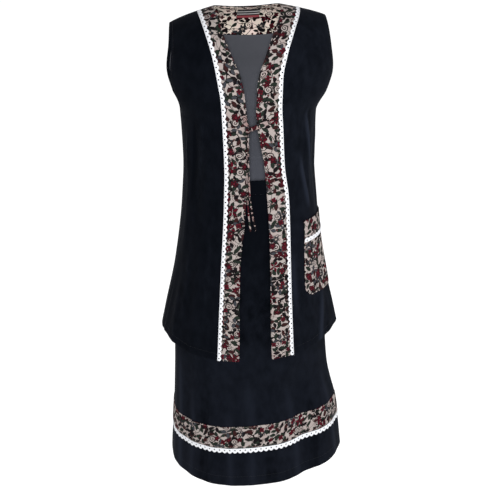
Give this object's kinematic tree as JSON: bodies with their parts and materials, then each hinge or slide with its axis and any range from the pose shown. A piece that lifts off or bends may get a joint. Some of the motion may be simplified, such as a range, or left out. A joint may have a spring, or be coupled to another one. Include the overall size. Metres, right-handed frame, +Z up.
{
  "type": "sarafan-style vest and skirt set",
  "caption": "Long sleeveless open vest with printed bands, lace edging, tie and patch pocket over a matching long skirt, worn and hollow.",
  "frame": {"origin": "midway between the two neck points, where the vest's shoulder seams rest on the wearer", "axes": "+Z up, +X towards the wearer's left, -Y towards the front"},
  "size_m": [0.5004, 0.4118, 1.252],
  "materials": {
    "velvet": "near-black navy velvet with a short nap",
    "printed_cloth": "matt cotton with a small floral print in dark red, green and brown",
    "lace": "white scalloped cotton eyelet lace",
    "grey_lining": "smooth dark grey lining cloth",
    "label_cloth": "plain dark woven tape"
  },
  "bodies": {
    "root": {"vest_back": "velvet", "vest_front_left": "velvet", "vest_front_right": "velvet", "vest_band_left": "printed_cloth", "vest_band_right": "printed_cloth", "vest_lace_left": "lace", "vest_lace_right": "lace", "vest_back_lining": "grey_lining", "neck_facing": "printed_cloth", "neck_label": "label_cloth", "pocket": "printed_cloth", "pocket_lace": "lace", "tie_strap_left": "printed_cloth", "tie_strap_right": "printed_cloth", "tie_knot": "printed_cloth", "tie_end_long": "printed_cloth", "tie_end_short": "printed_cloth", "skirt_front": "velvet", "skirt_back": "velvet", "skirt_waistband_front": "velvet", "skirt_waistband_back": "velvet", "skirt_back_lining": "grey_lining", "skirt_band_front": "printed_cloth", "skirt_band_back": "printed_cloth", "skirt_lace_front": "lace", "skirt_lace_back": "lace"}
  },
  "joints": []
}
